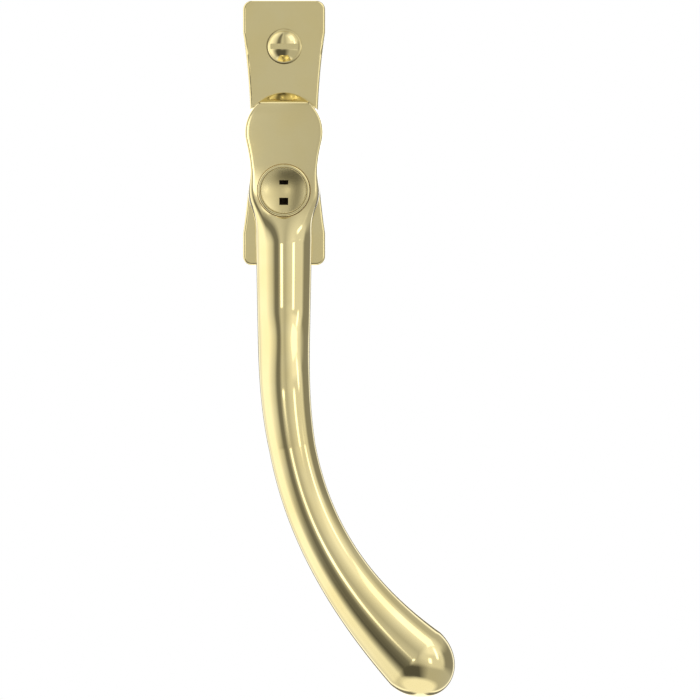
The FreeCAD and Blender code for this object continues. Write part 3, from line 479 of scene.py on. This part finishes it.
def make_key_plug(face, slot_painted_shade):
    """The turned plug with its dish and two key slots, with near-black painted shade inside the
    slots.
    """
    plug = turned("plug_turned", plug_profile(), LOCK_LEVEL, PLUG_SIDES)
    for number, (low, high) in enumerate(KEY_SLOTS):
        slot = slot_cutter(f"slot_tool_{number}", KEY_SLOT_HALF_WIDTH,
                           (LOCK_LEVEL - low, LOCK_LEVEL - high),
                           (KEY_SLOT_FLOOR, PLUG_FRONT + KEY_CUTTER_REACH))
        combine(plug, slot, "DIFFERENCE")
    shade(plug)
    plug.data.materials.clear()
    plug.data.materials.append(face)
    plug.data.materials.append(slot_painted_shade)
    # the slots' floors and walls get the near-black painted shade
    for polygon in plug.data.polygons:
        x, y, z = polygon.center / MM
        in_slot = abs(x) <= KEY_SLOT_HALF_WIDTH + NEAR and any(
            low - NEAR <= z + LOCK_LEVEL <= high + NEAR for low, high in KEY_SLOTS)
        if in_slot and KEY_SLOT_FLOOR - NEAR <= -y < KEY_SLOT_WALL_TOP:
            polygon.material_index = 1
    return plug


# ---------------------------------------------------------------- screws
SCREW_OFFSET = 21.5  # of each screw from the spindle's axis
SCREW_SIDES = 64
SCREW_REACH, SCREW_TIP_RADIUS = 25.0, 1.5
THREAD_PITCH = 0.8
THREAD_CREST, THREAD_ROOT = 2.5, 2.02
THREAD_STEPS = 10  # rings to one pitch
THREAD_MARGIN = 0.3  # between the thread and each end of the shank
THREAD_STOP = 0.35  # no ring of the thread is nearer to the mounting face than this
THREAD_FADE = 0.8
FLANK_SCALE, FLANK_CUT = 1.25, 0.12  # widen the crest and the root from a plain zigzag
SHANK_RADIUS, SHANK_START = 2.4, -0.1
SCREW_HEAD_RADIUS = 4.37
SCREW_HEAD_BACK, SCREW_HEAD_EDGE = 3.1, 5.35
SCREW_CHAMFER = 0.1
SCREW_ROUND, SCREW_ROUND_MIDDLE = 0.25, 0.07
DOME_RADIUS, DOME_TOP = 3.82, 7.1
DOME_RINGS = 30
SCREW_SLOT_HALF_WIDTH, SCREW_SLOT_FLOOR = 0.675, 5.75
SCREW_SLOT_HALF_LENGTH, SCREW_SLOT_TOP = 6.0, 9.0


def thread_radius(reach, angle):
    """Radius of the thread at a distance behind the mounting face and an angle about the axis."""
    phase = (reach / THREAD_PITCH - angle / FULL_TURN) % 1.0
    zigzag = 1 - abs(2 * phase - 1)
    flank = min(1.0, max(0.0, FLANK_SCALE * zigzag - FLANK_CUT))
    fade = min(1.0, (reach - THREAD_MARGIN) / THREAD_FADE, (SCREW_REACH - reach) / THREAD_FADE)
    return THREAD_ROOT + (THREAD_CREST - THREAD_ROOT) * flank * max(0.0, fade)


def make_screw(name, level, material):
    """A raised-head slotted screw with a real helical thread."""
    angles = [FULL_TURN * k / SCREW_SIDES for k in range(SCREW_SIDES)]
    rows = [(-SCREW_REACH, SCREW_TIP_RADIUS)]
    for reach in np.arange(
            SCREW_REACH - THREAD_MARGIN, THREAD_STOP, -THREAD_PITCH / THREAD_STEPS):
        rows.append((-reach, [thread_radius(reach, angle) for angle in angles]))
    rows += [
        (-THREAD_MARGIN, THREAD_ROOT), (SHANK_START, SHANK_RADIUS),
        (SCREW_HEAD_BACK, SHANK_RADIUS), (SCREW_HEAD_BACK, SCREW_HEAD_RADIUS - SCREW_CHAMFER),
        (SCREW_HEAD_BACK + SCREW_CHAMFER, SCREW_HEAD_RADIUS),
        (SCREW_HEAD_EDGE - SCREW_ROUND, SCREW_HEAD_RADIUS),
        (SCREW_HEAD_EDGE - SCREW_ROUND_MIDDLE, SCREW_HEAD_RADIUS - SCREW_ROUND_MIDDLE),
        (SCREW_HEAD_EDGE, SCREW_HEAD_RADIUS - SCREW_ROUND),
    ]
    ball = ball_radius(DOME_RADIUS, DOME_TOP - SCREW_HEAD_EDGE)
    for radius in np.linspace(DOME_RADIUS, AXIS_RADIUS, DOME_RINGS):
        rows.append((DOME_TOP - ball + math.sqrt(ball ** 2 - radius ** 2), radius))
    screw = turned(name, rows, level, SCREW_SIDES)
    slot = slot_cutter(f"{name}_slot_tool", SCREW_SLOT_HALF_LENGTH,
                       (level + SCREW_SLOT_HALF_WIDTH, level - SCREW_SLOT_HALF_WIDTH),
                       (SCREW_SLOT_FLOOR, SCREW_SLOT_TOP))
    combine(screw, slot, "DIFFERENCE")
    shade(screw)
    screw.data.materials.clear()
    give(screw, material)
    return screw


# ---------------------------------------------------------------- shader nodes
def new_material(name, base, metallic, roughness):
    material = bpy.data.materials.new(name)
    material.use_nodes = True
    nodes = material.node_tree.nodes
    shader = nodes["Principled BSDF"]
    shader.inputs["Base Color"].default_value = (*base, 1.0)
    shader.inputs["Metallic"].default_value = metallic
    shader.inputs["Roughness"].default_value = roughness
    return material, nodes, material.node_tree.links, shader


def noise(nodes, links, scale, detail, roughness=0.5):
    """Noise over the object's own coordinates, scaled per metre."""
    where = nodes.new("ShaderNodeTexCoord").outputs["Object"]
    made = nodes.new("ShaderNodeTexNoise")
    made.inputs["Scale"].default_value = scale
    made.inputs["Detail"].default_value = detail
    made.inputs["Roughness"].default_value = roughness
    links.new(where, made.inputs["Vector"])
    return made.outputs["Fac"]


def remap(nodes, links, value, source, result):
    """A value moved from one (low, high) range to another, and kept within it."""
    made = nodes.new("ShaderNodeMapRange")
    made.inputs["From Min"].default_value, made.inputs["From Max"].default_value = source
    made.inputs["To Min"].default_value, made.inputs["To Max"].default_value = result
    links.new(value, made.inputs["Value"])
    return made.outputs["Result"]


def calculate(nodes, links, operation, *values):
    """One maths node. Each value is a number or another node's output."""
    made = nodes.new("ShaderNodeMath")
    made.operation = operation
    for socket, value in zip(made.inputs, values):
        if isinstance(value, float):
            socket.default_value = value
        else:
            links.new(value, socket)
    return made.outputs[0]


def bump(nodes, links, height, distance, strength, shader):
    """Fine relief in the surface. The distance is in metres."""
    made = nodes.new("ShaderNodeBump")
    made.inputs["Strength"].default_value = strength
    made.inputs["Distance"].default_value = distance
    links.new(height, made.inputs["Height"])
    links.new(made.outputs["Normal"], shader.inputs["Normal"])


def give(target, material):
    """Puts one material in every slot of an object."""
    if not target.material_slots:
        target.data.materials.append(material)
    for place in target.material_slots:
        place.material = material


# ---------------------------------------------------------------- materials
GOLD = (0.86, 0.74, 0.385)
GOLD_PALE, GOLD_DEEP = (0.865, 0.748, 0.395, 1.0), (0.845, 0.715, 0.35, 1.0)
HAIRLINE_ROUGHNESS = 0.035  # what hairlines from wiping add to the roughness
PEEL_SHARE = 0.03  # of the fine orange peel in the relief, beside the wide waves
PLATE_RELIEF, METAL_RELIEF = 0.00004, 0.00002  # metres
PLATE_BUMP, NYLON_BUMP = 0.6, 0.3

# noise: scale per metre, detail and roughness
CLOUD, WAVE, PEEL = (90.0, 2.0), (45.0, 1.0), (700.0, 2.0)
HAIRLINES = (2600.0, 4.0, 0.65)
GRAIN_DETAIL, GRAIN_ROUGHNESS = 4.0, 0.6
GRAIN_LOW, GRAIN_HIGH = 0.7, 1.4  # of a plain metal's roughness
NYLON_SPECKLE = (1800.0, 3.0)

# the part of a noise's range that is spread over what it drives
NOISE_SPAN, HAIRLINE_SPAN, TINT_SPAN = (0.3, 0.7), (0.35, 0.75), (0.35, 0.65)

# colour, roughness, grain scale per metre and grain strength
PLAIN_METALS = {
    "lock_brass": ((0.62, 0.44, 0.2), 0.3, 1500.0, 0.3),
    "hard_steel": ((0.5, 0.5, 0.51), 0.22, 2200.0, 0.2),
    "spring_steel": ((0.3, 0.3, 0.32), 0.35, 1800.0, 0.3),
    "zinc_steel": ((0.6, 0.62, 0.64), 0.3, 900.0, 0.4),
}
KEYWAY_PAINTED_SHADE = ((0.02, 0.016, 0.011), 0.6, 1500.0, 0.3)
POLISHED, SATIN = (0.055, 0.10), (0.24, 0.3)  # lowest and highest roughness
NYLON_COLOUR, NYLON_SUBSURFACE = (0.8, 0.79, 0.74), 0.1
NYLON_ROUGHNESS, NYLON_ROUGHNESS_SPAN = 0.45, (0.38, 0.55)


def gold_plate(name, roughness):
    """Gold plate over polished brass: faint waviness, hairlines from wiping and slight dulling."""
    material, nodes, links, shader = new_material(name, GOLD, 1.0, max(roughness))
    cloud = noise(nodes, links, *CLOUD)
    dulling = remap(nodes, links, cloud, NOISE_SPAN, roughness)
    hairlines = remap(
        nodes, links, noise(nodes, links, *HAIRLINES), HAIRLINE_SPAN, (0.0, HAIRLINE_ROUGHNESS))
    links.new(calculate(nodes, links, "ADD", dulling, hairlines), shader.inputs["Roughness"])

    tint = nodes.new("ShaderNodeMix")
    tint.data_type = "RGBA"
    tint.inputs["A"].default_value = GOLD_PALE
    tint.inputs["B"].default_value = GOLD_DEEP
    links.new(remap(nodes, links, cloud, TINT_SPAN, (0.0, 1.0)), tint.inputs["Factor"])
    links.new(tint.outputs["Result"], shader.inputs["Base Color"])

    peel = calculate(nodes, links, "MULTIPLY", noise(nodes, links, *PEEL), PEEL_SHARE)
    relief = calculate(nodes, links, "ADD", noise(nodes, links, *WAVE), peel)
    bump(nodes, links, relief, PLATE_RELIEF, PLATE_BUMP, shader)
    return material


def plain_metal(name, base, roughness, grain_scale, grain):
    """A machined or plated metal with fine grain in its roughness and relief."""
    material, nodes, links, shader = new_material(name, base, 1.0, roughness)
    speckle = noise(nodes, links, grain_scale, GRAIN_DETAIL, GRAIN_ROUGHNESS)
    uneven = remap(
        nodes, links, speckle, NOISE_SPAN, (roughness * GRAIN_LOW, roughness * GRAIN_HIGH))
    links.new(uneven, shader.inputs["Roughness"])
    bump(nodes, links, speckle, METAL_RELIEF, grain, shader)
    return material


def nylon():
    """Off-white nylon, slightly translucent."""
    material, nodes, links, shader = new_material(
        "nylon", NYLON_COLOUR, 0.0, NYLON_ROUGHNESS)
    shader.inputs["Subsurface Weight"].default_value = NYLON_SUBSURFACE
    speckle = noise(nodes, links, *NYLON_SPECKLE)
    uneven = remap(nodes, links, speckle, NOISE_SPAN, NYLON_ROUGHNESS_SPAN)
    links.new(uneven, shader.inputs["Roughness"])
    bump(nodes, links, speckle, METAL_RELIEF, NYLON_BUMP, shader)
    return material


# ---------------------------------------------------------------- studio
# the light the world gives on the left and on the right, and the azimuths it changes between
GROUND_LEVELS = (0.66, 0.53)
GROUND_CHANGE = (-8.0, 5.0)

# soft boxes and dark flags over that: (azimuth, half width, fade), (elevation, half height, fade)
# and brightness, with angles in degrees. Azimuth 0 is in front of the part and positive to its
# right. Those behind the part are given at both ends of the azimuth's range. Their places were
# worked back from the reflections that show in the photo and then moved.
PANELS = [
    ((-100.0, 18.0, 34.0), (15.0, 40.0, 30.0), 1.3),
    ((58.0, 14.0, 38.0), (33.0, 30.0, 12.0), 1.1),
    ((58.0, 14.0, 38.0), (0.0, 12.0, 8.0), 0.82),
    ((-31.0, 6.0, 12.0), (10.0, 60.0, 20.0), 0.2),
    ((-9.2, 2.0, 4.5), (0.0, 2.0, 3.0), 2.2),
    ((41.0, 2.0, 4.0), (0.0, 4.0, 4.0), 2.2),
    ((66.0, 1.5, 3.5), (19.0, 9.0, 6.0), 2.3),
    ((115.0, 20.0, 12.0), (5.0, 12.0, 12.0), 0.28),
    ((180.0, 28.0, 12.0), (0.0, 60.0, 20.0), 1.5),
    ((-180.0, 28.0, 12.0), (0.0, 60.0, 20.0), 1.5),
    ((163.0, 6.0, 4.0), (0.0, 80.0, 10.0), 0.22),
    ((-163.0, 6.0, 4.0), (0.0, 80.0, 10.0), 0.22),
    ((-20.0, 26.0, 30.0), (-36.0, 14.0, 13.0), 0.1),
    ((0.0, 200.0, 1.0), (-80.0, 18.0, 12.0), 1.1),
]

# in metres from here on
FLOOR_Z, FLOOR_RADIUS, FLOOR_SIDES = -0.55, 0.38, 96
VIEW_TARGET = Vector((0.0164, -0.012, -0.054))
VIEW_HEIGHT, VIEW_DISTANCE = 0.1737, 3.0
SENSOR_WIDTH = 36.0  # millimetres, as Blender takes it
KEY_PLACE, KEY_AIM = Vector((1.2, -0.7, 1.4)), Vector((0, 0, -0.06))
KEY_SIZE, KEY_RADIANCE = 0.9, 0.5
CLIP_START, CLIP_END = 0.01, 50.0
FLOOR_COLOUR, FLOOR_ROUGHNESS = (0.86, 0.86, 0.85), 0.7
WHITE = (1.0, 1.0, 1.0, 1.0)


def within_band(nodes, links, value, centre, half_width, fade):
    """One where the value is within a band, falling to zero over its fade."""
    away = calculate(nodes, links, "ADD", value, -centre)
    size = calculate(nodes, links, "ABSOLUTE", away)
    return remap(nodes, links, size, (half_width, half_width + fade), (1.0, 0.0))


def make_world():
    """Soft panels on a plain grey, which the camera sees as white."""
    world = bpy.data.worlds.new("studio")
    bpy.context.scene.world = world
    world.use_nodes = True
    nodes, links = world.node_tree.nodes, world.node_tree.links
    nodes.clear()
    coords = nodes.new("ShaderNodeTexCoord")
    split = nodes.new("ShaderNodeSeparateXYZ")
    links.new(coords.outputs["Generated"], split.inputs[0])
    forward = calculate(nodes, links, "MULTIPLY", split.outputs["Y"], -1.0)
    turn = calculate(nodes, links, "ARCTAN2", split.outputs["X"], forward)
    azimuth = calculate(nodes, links, "MULTIPLY", turn, 180 / math.pi)
    slope = calculate(nodes, links, "ARCSINE", split.outputs["Z"])
    elevation = calculate(nodes, links, "MULTIPLY", slope, 180 / math.pi)

    light = remap(nodes, links, azimuth, GROUND_CHANGE, GROUND_LEVELS)
    for side, rise, level in PANELS:
        share = calculate(nodes, links, "MULTIPLY", within_band(nodes, links, azimuth, *side),
                          within_band(nodes, links, elevation, *rise))
        mix = nodes.new("ShaderNodeMix")
        links.new(share, mix.inputs["Factor"])
        links.new(light, mix.inputs["A"])
        mix.inputs["B"].default_value = level
        light = mix.outputs["Result"]

    path = nodes.new("ShaderNodeLightPath")
    seen = nodes.new("ShaderNodeMix")
    links.new(path.outputs["Is Camera Ray"], seen.inputs["Factor"])
    links.new(light, seen.inputs["A"])
    seen.inputs["B"].default_value = 1.0
    background = nodes.new("ShaderNodeBackground")
    background.inputs["Color"].default_value = WHITE
    links.new(seen.outputs["Result"], background.inputs["Strength"])
    output = nodes.new("ShaderNodeOutputWorld")
    links.new(background.outputs[0], output.inputs["Surface"])


def make_floor():
    """A plain pale disc well below the part, left out of its reflections."""
    centre = (cad_low + cad_high) / 2
    angles = [FULL_TURN * k / FLOOR_SIDES for k in range(FLOOR_SIDES)]
    ring = [
        (centre.x + FLOOR_RADIUS * math.cos(angle), centre.y + FLOOR_RADIUS * math.sin(angle),
         FLOOR_Z) for angle in angles]
    floor = mesh_object("floor", ring, [tuple(range(FLOOR_SIDES))])
    give(floor, new_material("pale_floor", FLOOR_COLOUR, 0.0, FLOOR_ROUGHNESS)[0])
    floor.visible_glossy = False


def make_light():
    """One high, soft, square light, out of the camera's sight."""
    data = bpy.data.lights.new("key_light", "AREA")
    data.shape = "RECTANGLE"
    data.size = data.size_y = KEY_SIZE
    data.energy = KEY_RADIANCE * math.pi * KEY_SIZE * KEY_SIZE
    light = bpy.data.objects.new("key_light", data)
    light.location = KEY_PLACE
    light.rotation_euler = (KEY_AIM - KEY_PLACE).to_track_quat("-Z", "Y").to_euler()
    light.visible_camera = False
    bpy.context.scene.collection.objects.link(light)


def make_camera():
    """A long lens square to the backplate, level with the middle of the part."""
    data = bpy.data.cameras.new("camera")
    camera = bpy.data.objects.new("camera", data)
    bpy.context.scene.collection.objects.link(camera)
    bpy.context.scene.camera = camera
    camera.location = VIEW_TARGET + Vector((0, -VIEW_DISTANCE, 0))
    camera.rotation_euler = (math.pi / 2, 0, 0)
    data.sensor_width = SENSOR_WIDTH
    data.lens = SENSOR_WIDTH * VIEW_DISTANCE / VIEW_HEIGHT
    data.clip_start, data.clip_end = CLIP_START, CLIP_END


# ---------------------------------------------------------------- put together
gold = gold_plate("polished_gold", POLISHED)
satin = gold_plate("satin_gold", SATIN)
# the near-black painted shade for the key slots
keyway_painted_shade = plain_metal("keyway_painted_shade", *KEYWAY_PAINTED_SHADE)
materials = {name: plain_metal(name, *look) for name, look in PLAIN_METALS.items()}
materials |= {"polished_gold": gold, "nylon": nylon()}
for part in frame["record"]["subparts"]:
    give(frame["nodes"][part["node"]], materials[part["material_slot"]])

lever = make_lever()
give(lever, gold)
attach(lever, "handle")
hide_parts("lever")

for node, level in (("screw_upper", -SCREW_OFFSET), ("screw_lower", SCREW_OFFSET)):
    screw = make_screw(f"{node}_threaded", level, gold)
    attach(screw, "base")
    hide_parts(node)

plug = make_key_plug(satin, keyway_painted_shade)
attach(plug, "plug")
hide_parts("key_plug")

make_world()
make_floor()
make_light()
make_camera()
bpy.context.scene.view_settings.view_transform = "Standard"
